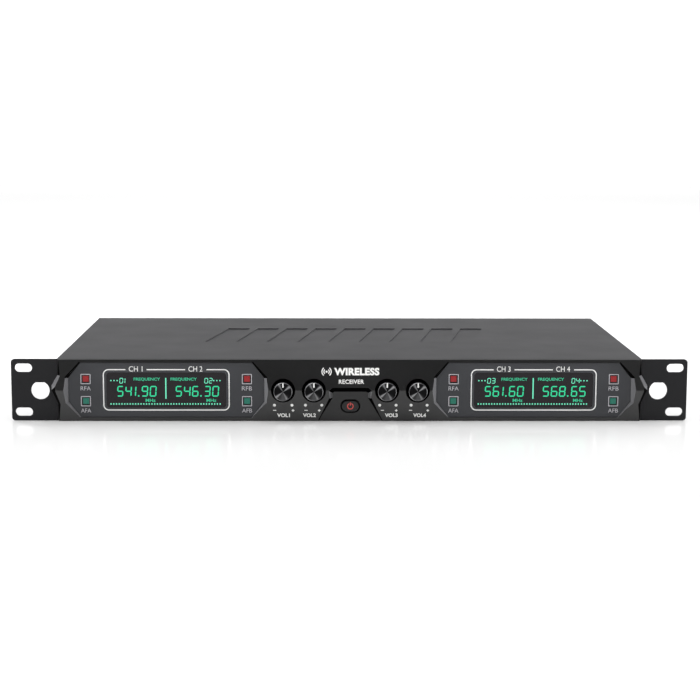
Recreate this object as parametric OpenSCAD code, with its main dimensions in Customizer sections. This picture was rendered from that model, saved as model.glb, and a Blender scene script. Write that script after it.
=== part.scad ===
// Four-channel rack-mount wireless receiver, one rack unit high.
// +X right, +Y towards the rear panel, +Z up. The origin is on the surface that it
// stands on, under the middle of its overall length and depth. Millimetres.

/* [Rack panel] */
// Width of the rack panel over both ears
panel_w = 482.6; // [480:0.1:484]
// Height of the rack panel
panel_h = 44.3; // [43.6:0.05:44.4]
// Thickness of the rack panel
panel_t = 2; // [1.5:0.1:2.5]
// Distance between the left and right rack slots
slot_pitch_x = 465.1; // [463:0.1:467]
// Distance between the upper and lower rack slots
slot_pitch_z = 31.75; // [31:0.05:32.5]
// Length of a rack slot, end to end
slot_l = 12.4; // [10:0.1:14]
// Width of a rack slot
slot_w = 6.2; // [6:0.1:7]
// Diameter of the antenna holes in the ears
antenna_hole_d = 13.2; // [12.7:0.1:13.6]

/* [Case] */
// Width of the case over its cover
case_w = 420; // [416:1:424]
// Depth from the panel's front face to the rear of the case
case_d = 238; // [220:1:250]
// Height of the cover's top face above the floor
cover_z = 43.3; // [42.8:0.1:43.6]
// Thickness of the sheet steel
sheet_t = 1.2; // [1:0.1:1.4]
// Thickness of the rubber feet
foot_t = 1.6; // [1.2:0.1:2]

/* [Front bezel] */
// How far the ridge of the bezel stands in front of the rack panel
ridge_p = 6.5; // [6:0.1:8]
// How far the bezel's top and bottom edges stand in front of the rack panel
edge_p = 2; // [1.8:0.1:2.4]
// Height of the ridge
ridge_z = 22.8; // [22:0.1:23.2]
// Height of the displays' middles
display_z = 22.3; // [21.8:0.1:22.6]
// Distance of each display from the middle of the bezel
display_x = 131; // [128:0.5:133]

/* [Volume knobs] */
// Height of the knobs
knob_z = 22.5; // [21.5:0.1:23]
// Diameter of a knob
knob_d = 13.3; // [12.5:0.1:14]
// How far a knob's face stands in front of the rack panel
knob_p = 11; // [10:0.5:13]
// Diameter of the round recess that a knob sits in
cup_d = 17.2; // [16.5:0.1:18]

/* [Power button] */
// Width of the power button
button_w = 12.2; // [11.5:0.1:12.6]
// Height of the power button
button_h = 7.8; // [7:0.1:8.2]

/* [Hidden] */
$fn = 48;

// Depth positions count from the panel's front face: forward is negative.
rear_reach = 12;
panel_y = (knob_p - case_d - rear_reach) / 2;
panel_mid_z = panel_h / 2;
eps = 0.01;

// Sheet-metal levels
floor_z = foot_t;
tray_top_z = floor_z + sheet_t;
rear_y = case_d - sheet_t;
fold_in = case_w / 2 - sheet_t;

// Bezel
bezel_half = 208.4;
bezel_nose = 4.4;
bezel_draft = 4.2;
loft_p = ridge_p + 1;
recess_floor_p = 0.8;
overlay_p = 1.8;
knob_x = [-47.9, -26, 26, 47.9];

// Display, from its own centre
window_w = 85;
window_h = 25.4;
window_r = 2.4;
pipe_x = 57.3;
pipe_z = 8;
pipe_hole = 5.4;
pipe_w = 3.9;

// Power button
button_z = 10.8;
button_gap = 0.7;
button_floor_p = edge_p - 0.2;
button_p = 2.6;
button_travel = 1.2;

// Rear connectors
xlr_x = [-150, -112, 112, 150];
bnc_x = [-187, -75, 75, 187];
mix_x = -22;
dc_x = 24;
rear_z = 22.2;
xlr_body_d = 23.4;
xlr_well_d = 19;
jack_bore_d = 6.5;

// Boards
board_t = 1.6;
board_z = 10;
board_y = 70;
board_l = 132;
board_w = 126;
screw_d = 3;

BLACK = [0.13, 0.13, 0.13];
COVER_GREY = [0.38, 0.38, 0.39];
OVERLAY_GREY = [0.28, 0.285, 0.29];
STEEL = [0.72, 0.72, 0.74];
BOARD_GREEN = [0.08, 0.32, 0.18];

// ---------------------------------------------------------------- helpers

// Turns a child drawn in X and Z, and extruded along Z, to stand out towards the front from depth p0.
module facing(p0) translate([0, -p0, 0]) rotate([90, 0, 0]) children();

// A round bar along Y, from depth y0 to y1 behind the panel's front face.
module rod(x, z, r, y0, y1) translate([x, y0, z]) rotate([-90, 0, 0]) cylinder(r = r, h = y1 - y0);

// A box centred on x and z, from depth y0 to y1.
module block(x, z, w, h, y0, y1) translate([x - w / 2, y0, z - h / 2]) cube([w, y1 - y0, h]);

module rounded_rect(w, h, r) union() {
    square([w - 2 * r, h], center = true);
    square([w, h - 2 * r], center = true);
    for (x = [-1, 1], z = [-1, 1]) translate([x * (w / 2 - r), z * (h / 2 - r)]) circle(r = r);
}

module stadium(w, h) union() {
    square([w - h, h], center = true);
    for (x = [-1, 1]) translate([x * (w - h) / 2, 0]) circle(d = h);
}

function mirrored(points) = [for (i = [len(points) - 1 : -1 : 0]) [-points[i][0], points[i][1]]];

// A solid between two anticlockwise outlines with the same number of points, at heights a and b.
module loft(low, a, high, b) {
    n = len(low);
    lower = [for (i = [0 : n - 1]) [i, n + i, (i + 1) % n]];
    upper = [for (i = [0 : n - 1]) [(i + 1) % n, n + i, n + (i + 1) % n]];
    polyhedron(
        points = concat([for (p = low) [p[0], p[1], a]], [for (p = high) [p[0], p[1], b]]),
        faces = concat([[for (i = [0 : n - 1]) i]], lower, upper,
                       [[for (i = [n - 1 : -1 : 0]) n + i]]),
        convexity = 6
    );
}

// A round cord of 8 sides along a list of points.
function unit(v) = v / norm(v);
module cord(route, d, sides = 8) {
    n = len(route);
    along = [for (i = [0 : n - 1]) unit(route[min(i + 1, n - 1)] - route[max(i - 1, 0)])];
    rings = [for (i = [0 : n - 1])
        let (side = unit(cross(along[i], [0, 0.1, 1])), top = cross(side, along[i]))
        for (k = [0 : sides - 1])
            let (a = 360 * k / sides) route[i] + d / 2 * (cos(a) * side + sin(a) * top)];
    walls = [for (i = [0 : n - 2], k = [0 : sides - 1]) let (m = (k + 1) % sides)
        [i * sides + k, (i + 1) * sides + k, (i + 1) * sides + m, i * sides + m]];
    polyhedron(
        points = rings,
        faces = concat([[for (k = [0 : sides - 1]) k]], walls,
                       [[for (k = [sides - 1 : -1 : 0]) (n - 1) * sides + k]])
    );
}

// A pan-head screw along Y: the head's back at depth y, the shank going the way dir points.
module pan_screw(x, z, y, l, dir = 1, d = screw_d) {
    translate([x, y, z]) rotate([-90 * dir, 0, 0]) {
        difference() {
            translate([0, 0, -1.8]) cylinder(d = 1.9 * d, h = 1.8);
            for (a = [0, 90]) rotate([0, 0, a]) translate([-d / 2, -0.35, -2]) cube([d, 0.7, 1.2]);
        }
        cylinder(d = d, h = l);
    }
}

// ---------------------------------------------------------------- case

module rack_slot_holes() {
    for (x = [-1, 1], z = [-1, 1])
        facing(-panel_t - eps)
            translate([x * slot_pitch_x / 2, panel_mid_z + z * slot_pitch_z / 2])
                linear_extrude(panel_t + 2 * eps) stadium(slot_l, slot_w);
}

// Round holes with a flat on top, for antenna sockets moved to the front.
antenna_hole_x = 220.8;
antenna_flat = 5.85;
module antenna_holes() {
    for (x = [-antenna_hole_x, antenna_hole_x])
        facing(-panel_t - eps) translate([x, panel_mid_z - 0.4])
            linear_extrude(panel_t + 2 * eps) intersection() {
                circle(d = antenna_hole_d);
                translate([-antenna_hole_d, -antenna_hole_d])
                    square([2 * antenna_hole_d, antenna_hole_d + antenna_flat]);
            }
}

corner_r = 2.4;
bezel_screw_x = [-203, -50, 50, 203];
module rack_panel() color(BLACK) difference() {
    facing(-panel_t) translate([0, panel_mid_z]) linear_extrude(panel_t)
        rounded_rect(panel_w, panel_h, corner_r);
    rack_slot_holes();
    antenna_holes();
    for (side = [-1, 1]) {
        block(side * display_x, display_z, 96, 34, -eps, panel_t + eps);
        for (x = [-pipe_x, pipe_x], z = [-pipe_z, pipe_z])
            block(side * display_x + x, display_z + z, 6, 6, -eps, panel_t + eps);
    }
    for (x = knob_x) rod(x, knob_z, 3.6, -eps, panel_t + eps);
    facing(-panel_t - eps) translate([0, button_z]) linear_extrude(panel_t + 2 * eps)
        stadium(button_w + 2 * button_gap, button_h + 2 * button_gap);
    for (x = bezel_screw_x) rod(x, bezel_screw_z, 1.6, -eps, panel_t + eps);
    for (x = tray_screw_x) rod(x, tray_screw_z, 1.6, -eps, panel_t + eps);
}

tray_screw_x = [-200, -66, 66, 200];
tray_screw_z = 7.2;
tray_lip = 9;
rear_screw_x = [-200, -50, 50, 200];
module chassis_tray() color(STEEL) difference() {
    union() {
        translate([-fold_in + 0.1, panel_t, floor_z])
            cube([2 * fold_in - 0.2, rear_y - panel_t, sheet_t]);
        // side flanges stand inside the cover's side walls
        for (side = [-1, 1])
            translate([side * (fold_in - 0.1) - (side > 0 ? sheet_t : 0), panel_t, floor_z])
                cube([sheet_t, rear_y - panel_t, 14]);
        block(0, floor_z + tray_lip / 2, 2 * fold_in - 0.2, tray_lip, panel_t, panel_t + sheet_t);
        block(0, floor_z + tray_lip / 2, 2 * fold_in - 0.2, tray_lip, rear_y - sheet_t, rear_y);
    }
    for (x = tray_screw_x) rod(x, tray_screw_z, 1.6, 0, 10);
    for (x = rear_screw_x) rod(x, tray_screw_z, 1.6, rear_y - 10, rear_y + 1);
    // room for the connectors behind the rear lip
    for (x = xlr_x) block(x, 14, 26, 16, rear_y - 2, rear_y + 1);
    block(0, 10, 2 * button_w, 10, panel_t - 1, panel_t + sheet_t + 1);
    for (side = [-1, 1])
        block(side * display_x, 10, 104, 9, panel_t - 1, panel_t + sheet_t + 1);
    for (side = [-1, 1], y = side_screw_y)
        translate([side * fold_in, y, side_screw_z]) rotate([0, 90, 0])
            cylinder(r = 1.6, h = 8, center = true);
    // cooling slots in the floor
    for (side = [-1, 1], i = [0 : 6])
        translate([side * 40 + i * 7 - 21, 30, floor_z - 1]) cube([3, 28, 3]);
}

side_screw_y = [30, 120, 210];
side_screw_z = 11;
emboss_n = 9;
emboss_w = 17.5;
emboss_pitch = 23.6;
emboss_y = [96, 172];
emboss_depth = 0.6;
emboss_slant = 14;
// One slanting stiffening panel pressed into the cover's top.
module emboss_outline(i, grow = 0) {
    x = (i - (emboss_n - 1) / 2) * emboss_pitch - emboss_slant / 2;
    polygon([
        [x - emboss_w / 2 - grow, emboss_y[0] - grow],
        [x + emboss_w / 2 + grow, emboss_y[0] - grow],
        [x + emboss_w / 2 + emboss_slant + grow, emboss_y[1] + grow],
        [x - emboss_w / 2 + emboss_slant - grow, emboss_y[1] + grow]
    ]);
}

vent_n = 12;
vent_pitch = 6;
module top_cover() color(COVER_GREY) difference() {
    union() {
        translate([-case_w / 2, panel_t, cover_z - sheet_t])
            cube([case_w, case_d - panel_t, sheet_t]);
        for (side = [-1, 1])
            translate([side * case_w / 2 - (side > 0 ? sheet_t : 0), panel_t, floor_z])
                cube([sheet_t, case_d - panel_t, cover_z - floor_z]);
        for (i = [0 : emboss_n - 1])
            translate([0, 0, cover_z - sheet_t - emboss_depth])
                linear_extrude(sheet_t) emboss_outline(i, 0.8);
    }
    for (i = [0 : emboss_n - 1])
        translate([0, 0, cover_z - emboss_depth]) linear_extrude(sheet_t) emboss_outline(i);
    for (side = [-1, 1]) {
        for (i = [0 : vent_n - 1])
            translate([side * case_w / 2 - 2, 140 + i * vent_pitch, 18]) cube([4, 2.4, 16]);
        for (y = side_screw_y) {
            translate([side * case_w / 2, y, side_screw_z]) rotate([0, 90, 0])
                cylinder(r = 1.6, h = 6, center = true);
            translate([side * (case_w / 2 - sheet_t), y, side_screw_z]) rotate([0, side * 90, 0])
                cylinder(r1 = 1.6, r2 = 3.1, h = sheet_t + eps);
        }
    }
}

module rear_panel() color(COVER_GREY) difference() {
    translate([-fold_in + 0.1, rear_y, floor_z + 0.1])
        cube([2 * fold_in - 0.2, sheet_t, cover_z - sheet_t - floor_z - 0.2]);
    for (x = xlr_x) {
        rod(x, rear_z, xlr_body_d / 2 + 0.1, rear_y - 1, case_d + 1);
        for (s = [-1, 1]) rod(x + s * 9.5, rear_z + s * 12, 1.6, rear_y - 1, case_d + 1);
    }
    for (x = bnc_x) rod(x, rear_z, 6.35, rear_y - 1, case_d + 1);
    rod(mix_x, rear_z, 4.6, rear_y - 1, case_d + 1);
    rod(dc_x, rear_z, 4.1, rear_y - 1, case_d + 1);
    for (x = rear_screw_x) rod(x, tray_screw_z, 1.6, rear_y - 1, case_d + 1);
    for (side = [-1, 1], i = [0 : 3])
        block(side * 45 + (i - 1.5) * 5, 27, 2.4, 14, rear_y - 1, case_d + 1);
}

module rubber_feet() color([0.08, 0.08, 0.08])
    for (x = [-180, 180], y = [28, case_d - 28])
        translate([x, y, 0]) rotate_extrude()
            polygon([[0, 0], [7.4, 0], [8, 0.6], [8, foot_t], [0, foot_t]]);

// ---------------------------------------------------------------- bezel

// The bezel's drafted ends: the nose stands out of them at mid-height.
nose_z = [12.6, 22.2, 25.4, 33];
function nose_outline(x) = [
    [x - 4, nose_z[0] - 2], [x, nose_z[0]], [x + bezel_nose, nose_z[1]], [x + bezel_nose, nose_z[2]],
    [x, nose_z[3]], [x - 4, nose_z[3] + 2]
];
module bezel_ends() union() {
    linear_extrude(panel_h) polygon([
        [-bezel_half, 0], [bezel_half, 0],
        [bezel_half - bezel_draft, -loft_p], [bezel_draft - bezel_half, -loft_p]
    ]);
    for (side = [0, 1]) mirror([side, 0, 0])
        facing(0) loft(nose_outline(bezel_half), 0, nose_outline(bezel_half - bezel_draft), loft_p);
}

// The display's outline, from its own centre: a wide hexagon with blunt side points.
function plate_end(grow, blunt) = [
    [60.8 + 0.5 * grow, -19.4 - 0.45 * grow], [69.6 + 1.3 * grow, -8.4 - 0.3 * grow],
    [69.6 + grow + blunt, 0.4], [69.6 + 1.3 * grow, 8.8 + 0.3 * grow], [60.8 + 0.5 * grow, 19.8 + 0.45 * grow]
];
function plate_outline(grow = 0, blunt = 0) =
    concat(plate_end(grow, blunt), mirrored(plate_end(grow, blunt)));

// One side of the recess around the power button: w, top and spread widen it.
function recess_side(w, top, spread) =
    [[23.4 + spread, -1], [12.6 + w, 16.9], [12.6 + w, 20.4 + top / 2], [11.4 + w / 2, 21.2 + top]];
function button_recess(w, top, spread) =
    concat(recess_side(w, top, spread), mirrored(recess_side(w, top, spread)));

// How far the bezel's face stands in front of the rack panel at height z.
function roof_p(z) = z < ridge_z
    ? edge_p + (ridge_p - edge_p) * z / ridge_z
    : edge_p + (ridge_p - edge_p) * (panel_h - z) / (panel_h - ridge_z);

// The bezel's ridged section between heights z0 and z1, thinned by wall and w wide.
module roof_prism(w, z0, z1, wall, back)
    translate([-w / 2, 0, 0]) rotate([90, 0, 90]) linear_extrude(w) polygon([
        [back, z0], [wall - roof_p(z0), z0], [wall - ridge_p, ridge_z],
        [wall - roof_p(z1), z1], [back, z1]
    ]);

bezel_screw_z = 37;
bezel_wall = 2.2;
hollow_w = 108;
module bezel_hollow() difference() {
    roof_prism(hollow_w, 5, panel_h - 5, bezel_wall, 1);
    for (x = knob_x) rod(x, knob_z, cup_d / 2 + 1.5, -ridge_p, 2);
    block(0, 10, 54, 34, -ridge_p, 2);
    for (x = bezel_screw_x) rod(x, bezel_screw_z, 3, -ridge_p, 2);
}

module front_bezel() color(BLACK) difference() {
    intersection() {
        roof_prism(2 * bezel_half + 20, 0, panel_h, 0, 0);
        bezel_ends();
    }
    bezel_hollow();
    for (side = [-1, 1]) {
        translate([side * display_x, 0, display_z]) {
            facing(recess_floor_p) linear_extrude(overlay_p - recess_floor_p)
                polygon(plate_outline(0.1));
            facing(overlay_p) loft(plate_outline(0.1), 0, plate_outline(2.6, 1), loft_p - overlay_p);
        }
        block(side * display_x, display_z, 92, 31, -3, 1);
        for (x = [-pipe_x, pipe_x], z = [-pipe_z, pipe_z])
            block(side * display_x + x, display_z + z, pipe_w + 0.3, pipe_w + 0.3, -3, 1);
    }
    for (x = knob_x) {
        rod(x, knob_z, cup_d / 2, -ridge_p - 1, -recess_floor_p);
        rod(x, knob_z, 6.2, -ridge_p, 1);
    }
    facing(button_floor_p)
        loft(button_recess(0, 0, 0), 0, button_recess(3.4, 4.6, 2.6), loft_p - button_floor_p);
    facing(-1) translate([0, button_z]) linear_extrude(ridge_p + 1)
        stadium(button_w + 2 * button_gap, button_h + 2 * button_gap);
    for (x = bezel_screw_x) rod(x, bezel_screw_z, 1.3, -1.8, 1);
}

// ---------------------------------------------------------------- displays

module display_overlay(side) color(OVERLAY_GREY)
    translate([side * display_x, 0, display_z]) facing(recess_floor_p)
        linear_extrude(overlay_p - recess_floor_p) difference() {
            polygon(plate_outline());
            rounded_rect(window_w + 0.1, window_h + 0.1, window_r);
            for (x = [-pipe_x, pipe_x], z = [-pipe_z, pipe_z])
                translate([x, z]) square(pipe_hole, center = true);
        }

module lcd_window(side) color([0.1, 0.09, 0.1, 0.6])
    translate([side * display_x, 0, display_z]) facing(recess_floor_p)
        linear_extrude(overlay_p - recess_floor_p - 0.1) rounded_rect(window_w, window_h, window_r);

// Glass cell in its metal frame, with the light guide behind.
module lcd_module(side) color([0.2, 0.2, 0.22]) translate([side * display_x, 0, display_z]) {
    block(0, 0, 90, 29.6, -recess_floor_p + 0.1, 1.6);
    block(0, 0, 94, 32.6, 1.6, 5.2);
}

module display_board(side) color(BOARD_GREEN) translate([side * display_x, 0, display_z]) difference() {
    block(0, 0, 130, 34, 6, 6 + board_t);
    for (x = [-49, 49], z = [-13, 13]) rod(x, z, 1.6, 5, 9);
}

// Four light pipes of one colour, on the display boards.
module light_pipes(z, tint) color(tint)
    for (side = [-1, 1], x = [-pipe_x, pipe_x]) {
        block(side * display_x + x, display_z + z, pipe_w, pipe_w, -overlay_p + 0.15, panel_t + 0.4);
        block(side * display_x + x, display_z + z, 5.4, 5.4, panel_t + 0.4, 6);
    }

// ---------------------------------------------------------------- volume controls

shaft_r = 3;
knob_back_p = 1.2;
nut_clearance_r = 5.5;
module volume_knob(i) color([0.2, 0.2, 0.2]) translate([knob_x[i], 0, knob_z]) difference() {
    facing(knob_back_p) rotate_extrude() polygon([
        [0, 0], [knob_d / 2 - 0.3, 0], [knob_d / 2, 0.3], [knob_d / 2, knob_p - knob_back_p - 0.6],
        [knob_d / 2 - 0.6, knob_p - knob_back_p], [knob_d / 2 - 1, knob_p - knob_back_p],
        [knob_d / 2 - 1.15, knob_p - knob_back_p - 0.3], [0, knob_p - knob_back_p - 0.3]
    ]);
    rod(0, 0, nut_clearance_r, -4, 0);
    difference() {
        rod(0, 0, shaft_r + 0.02, -9.2, 0);
        block(0, -shaft_r - 0.52, 8, 2, -10, -3);
    }
    block(0, 4.9, 1.1, 3.6, -knob_p - 1, -knob_p + 0.7);
}

module knob_pointer(i) color("white") translate([knob_x[i], 0, knob_z])
    block(0, 4.8, 1.1, 3.3, -knob_p + 0.05, -knob_p + 0.7);

module pot_shaft(i) color(STEEL) translate([knob_x[i], 0, knob_z]) difference() {
    rod(0, 0, shaft_r, -9, 7);
    block(0, -shaft_r - 0.5, 8, 2, -10, -3);
}

module potentiometers() color([0.55, 0.55, 0.57])
    for (x = knob_x) translate([x, 0, knob_z]) difference() {
    union() {
        rod(0, 0, 3.5, -3, panel_t + 1);
        block(0, 0, 12, 13, panel_t, 11);
    }
    rod(0, 0, shaft_r + 0.05, -4, 7.5);
}

module pot_nuts() color(STEEL) for (x = knob_x) translate([x, 0, knob_z]) difference() {
    facing(0.5) cylinder(d = 10, h = 1.8, $fn = 6);
    rod(0, 0, 3.52, -4, 1);
}

module pot_washers() color(STEEL) for (x = knob_x) translate([x, 0, knob_z]) difference() {
    rod(0, 0, 5.3, -0.5, 0);
    rod(0, 0, 3.52, -1, 1);
}

module control_board() color(BOARD_GREEN) difference() {
    block(0, knob_z, 116, 34, 11, 11 + board_t);
    for (x = [-54, 54], z = [-13, 13]) rod(x, knob_z + z, 1.6, 10, 14);
}

// ---------------------------------------------------------------- power button

stem_y = 6;
switch_front_y = 8;
icon_r = 2;
icon_t = 0.8;
module icon_outline(grow = 0) {
    difference() {
        circle(r = icon_r + 0.3 + grow);
        circle(r = icon_r - 0.3 - grow);
        translate([-0.75 + grow, 0]) square([1.5 - 2 * grow, 4]);
    }
    translate([-0.3 - grow, 0.5 - grow]) square([0.6 + 2 * grow, 2.3 + 2 * grow]);
}

module power_button() color([0.16, 0.16, 0.16]) translate([0, 0, button_z]) difference() {
    union() {
        facing(-panel_t - 0.6) linear_extrude(button_p + panel_t + 0.6 - 0.3) stadium(button_w, button_h);
        facing(button_p - 0.3) linear_extrude(0.3) stadium(button_w - 0.6, button_h - 0.6);
        facing(-panel_t - 1.8) linear_extrude(1.2) stadium(button_w + 3, button_h + 3);
        block(0, 0, 4, 4, panel_t + 1.8, stem_y);
    }
    facing(button_p - icon_t) linear_extrude(icon_t + 1) icon_outline(0.02);
}

module power_icon_lens() color([0.85, 0.2, 0.2]) translate([0, 0, button_z])
    facing(button_p - icon_t) linear_extrude(icon_t + 0.03) icon_outline();

module switch_plunger() color([0.1, 0.1, 0.1])
    rod(0, button_z, 1.7, stem_y, switch_front_y + 0.6);

module power_switch() color([0.1, 0.1, 0.1]) translate([0, 0, button_z]) difference() {
    block(0, 0, 6.2, 6.2, switch_front_y, 11);
    rod(0, 0, 1.75, switch_front_y - 1, switch_front_y + 0.6 + button_travel + 0.2);
}

// ---------------------------------------------------------------- rear sockets

xlr_flange_t = 1.6;
xlr_depth = 15;
module xlr_shells() color(STEEL) for (x = xlr_x) translate([x, 0, rear_z]) difference() {
    union() {
        translate([0, case_d, 0]) rotate([-90, 0, 0]) linear_extrude(xlr_flange_t)
            rounded_rect(26, 31, 3);
        rod(0, 0, xlr_body_d / 2, case_d - 19, case_d + 0.5);
    }
    rod(0, 0, xlr_well_d / 2, case_d + xlr_flange_t - xlr_depth, case_d + 5);
    rod(0, 0, 8.2, case_d - 20, case_d);
    for (s = [-1, 1]) rod(s * 9.5, s * 12, 1.6, case_d - 1, case_d + 3);
}

module xlr_inserts() color([0.06, 0.06, 0.06]) for (x = xlr_x) translate([x, 0, rear_z]) difference() {
    union() {
        rod(0, 0, 9.3, case_d + xlr_flange_t - xlr_depth, case_d + xlr_flange_t - xlr_depth + 1.5);
        rod(0, 0, 8.1, case_d - 18, case_d + xlr_flange_t - xlr_depth + 1);
    }
    for (a = [30, 150, 270]) rod(4.1 * cos(a), 4.1 * sin(a), 1.22, case_d - 30, case_d);
}

module xlr_pins() color([0.8, 0.75, 0.6])
    for (x = xlr_x, a = [30, 150, 270]) translate([x + 4.1 * cos(a), case_d - 22, rear_z + 4.1 * sin(a)])
        rotate([-90, 0, 0]) union() {
            cylinder(r = 1.2, h = 19.6);
            translate([0, 0, 19.6]) cylinder(r1 = 1.2, r2 = 0.6, h = 0.8);
        }

// Places a child on each antenna socket's axis, with +Z out of the rear panel's outer face.
module on_antenna_sockets() for (x = bnc_x) translate([x, case_d, rear_z]) rotate([-90, 0, 0]) children();

module bnc_jacks() color(STEEL) on_antenna_sockets() difference() {
    union() {
        rotate_extrude() polygon([
            [0, -14], [5, -14], [5, -5], [7.5, -5], [7.5, -sheet_t], [6.2, -sheet_t], [6.2, 4],
            [4.85, 4], [4.85, 11.7], [4.55, rear_reach], [0, rear_reach]
        ]);
        // bayonet lugs
        for (a = [0, 180]) rotate([0, 0, a]) translate([4.6, 0, 6.2]) rotate([0, 90, 0])
            cylinder(d = 2, h = 0.9);
    }
    translate([0, 0, -15]) cylinder(r = 2.1, h = 40);
    translate([0, 0, 2]) cylinder(r = 4.05, h = 20);
}

module bnc_insulators() color("white") on_antenna_sockets() difference() {
    union() {
        translate([0, 0, -13]) cylinder(r = 2.05, h = 16);
        translate([0, 0, 2]) cylinder(r = 2.4, h = 8);
    }
    translate([0, 0, -14]) cylinder(r = 1.12, h = 40);
}

module bnc_contacts() color([0.85, 0.7, 0.3]) on_antenna_sockets() difference() {
    translate([0, 0, -17]) cylinder(r = 1.1, h = 26.5);
    translate([0, 0, 4]) cylinder(r = 0.7, h = 10);
}

module bnc_nuts() color(STEEL) on_antenna_sockets() translate([0, 0, 0.7]) difference() {
    cylinder(d = 16.4, h = 2.4, $fn = 6);
    translate([0, 0, -1]) cylinder(r = 6.22, h = 5);
}

module bnc_washers() color(STEEL) on_antenna_sockets() difference() {
    cylinder(r = 8, h = 0.7);
    translate([0, 0, -1]) cylinder(r = 6.22, h = 3);
}

module mix_jack() color([0.07, 0.07, 0.07]) difference() {
    union() {
        rod(mix_x, rear_z, 4.5, rear_y - 1, case_d + 3.2);
        block(mix_x, rear_z, 16, 20, case_d - 30, rear_y);
    }
    rod(mix_x, rear_z, jack_bore_d / 2, case_d - 27, case_d + 4);
}

module mix_jack_nut() color(STEEL) difference() {
    rod(mix_x, rear_z, 6.6, case_d, case_d + 2);
    rod(mix_x, rear_z, 4.52, case_d - 1, case_d + 3);
    for (a = [0, 90, 180, 270])
        translate([mix_x, case_d + 1.4, rear_z]) rotate([0, a, 0]) translate([5.3, 0, -0.6])
            cube([3, 2, 1.2]);
}

module dc_inlet() color([0.07, 0.07, 0.07]) difference() {
    union() {
        rod(dc_x, rear_z, 4, rear_y - 1, case_d + 1);
        rod(dc_x, rear_z, 5.5, case_d, case_d + 1.8);
        rod(dc_x, rear_z, 5.2, case_d - 12, rear_y);
    }
    rod(dc_x, rear_z, 2.8, case_d - 9.5, case_d + 4);
    rod(dc_x, rear_z, 1.02, case_d - 13, case_d);
}

module dc_inlet_pin() color(STEEL) rod(dc_x, rear_z, 1, case_d - 14, case_d + 0.8);

// ---------------------------------------------------------------- boards

module receiver_board(side) color(BOARD_GREEN) difference() {
    translate([side * display_x - board_w / 2, board_y, board_z]) cube([board_w, board_l, board_t]);
    for (x = [-56, 56], y = [8, board_l - 8])
        translate([side * display_x + x, board_y + y, board_z - 1]) cylinder(r = 1.6, h = 4);
}

audio_w = 104;
module audio_board() color(BOARD_GREEN) difference() {
    translate([-audio_w / 2, board_y, board_z]) cube([audio_w, board_l, board_t]);
    for (x = [-46, 46], y = [8, board_l - 8])
        translate([x, board_y + y, board_z - 1]) cylinder(r = 1.6, h = 4);
}

// Screening cans over the two tuners of each receiver board.
module tuner_cans() color(STEEL)
    for (side = [-1, 1], x = [-30, 30]) translate([side * display_x + x, board_y + 76, board_z + board_t])
        difference() {
            translate([-22, -30, 0]) cube([44, 60, 13]);
            translate([-21.5, -29.5, -1]) cube([43, 59, 13.5]);
            for (i = [0 : 4], j = [0 : 2])
                translate([-16 + i * 8, -8 + j * 8, 10]) cylinder(r = 1.4, h = 5);
        }

// Each capacitor's place on the audio board, radius and height.
capacitors = [
    [-30, 30, 5, 16], [-17, 30, 5, 16], [-4, 30, 4, 12], [28, 96, 4, 12], [40, 96, 4, 12],
    [28, 70, 3.2, 9]
];
module filter_capacitors() color([0.1, 0.12, 0.25])
    for (p = capacitors)
        translate([p[0], board_y + p[1], board_z + board_t]) rotate_extrude()
            polygon([[0, 0], [p[2], 0], [p[2], p[3] - 0.5], [p[2] - 0.5, p[3]], [0, p[3]]]);

module regulator_heatsink() color([0.6, 0.6, 0.62])
    translate([-36, board_y + 60, board_z + board_t]) union() {
        cube([34, 3, 22]);
        for (i = [0 : 6]) translate([i * 5.4, 0, 0]) cube([1.4, 13, 22]);
    }

module board_standoffs() color([0.8, 0.7, 0.4])
    for (p = concat(
        [for (side = [-1, 1], x = [-56, 56], y = [8, board_l - 8]) [side * display_x + x, board_y + y]],
        [for (x = [-46, 46], y = [8, board_l - 8]) [x, board_y + y]]))
        translate([p[0], p[1], tray_top_z]) difference() {
            cylinder(d = 7, h = board_z - tray_top_z, $fn = 6);
            translate([0, 0, 2]) cylinder(r = 1.52, h = 8);
        }

module board_screws() color(STEEL)
    for (p = concat(
        [for (side = [-1, 1], x = [-56, 56], y = [8, board_l - 8]) [side * display_x + x, board_y + y]],
        [for (x = [-46, 46], y = [8, board_l - 8]) [x, board_y + y]]))
        translate([p[0], p[1], board_z + board_t]) union() {
            cylinder(d = 5.6, h = 1.8);
            translate([0, 0, -6]) cylinder(r = 1.5, h = 7);
        }

// A thin coaxial lead from each antenna socket down to its tuner can.
lead_route = [
    [0, 0, 0], [0, -3, -0.4], [1, -6, -2], [3, -9, -4.5], [6, -11, -6.5], [10, -12.5, -7.6],
    [14, -14, -8], [18, -17, -8.6], [20, -20, -10.2], [20.5, -23, -10.6]
];
module antenna_leads() color([0.1, 0.1, 0.1])
    for (i = [0 : 3]) let (inward = i % 2 == 0 ? 1 : -1)
        translate([bnc_x[i], case_d - 17, rear_z])
            cord([for (p = lead_route) [inward * p[0] * 0.6, p[1], p[2] * 0.9]], 2.2);

// Flat ribbons from the display boards back to the receiver boards.
ribbon_w = 24;
ribbon_t = 0.9;
module display_ribbons() color([0.75, 0.75, 0.72])
    for (side = [-1, 1]) translate([side * display_x - ribbon_w / 2, 0, 0])
        rotate([90, 0, 90]) linear_extrude(ribbon_w) polygon([
            [7.6, 17], [14, 17], [22, 14.6], [60, 13.2], [76, 12.5], [84, 12.5],
            [84, 11.6], [76, 11.6], [60, 12.3], [22, 13.7], [14, 16.1], [7.6, 16.1]
        ]);

// ---------------------------------------------------------------- fasteners

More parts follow.
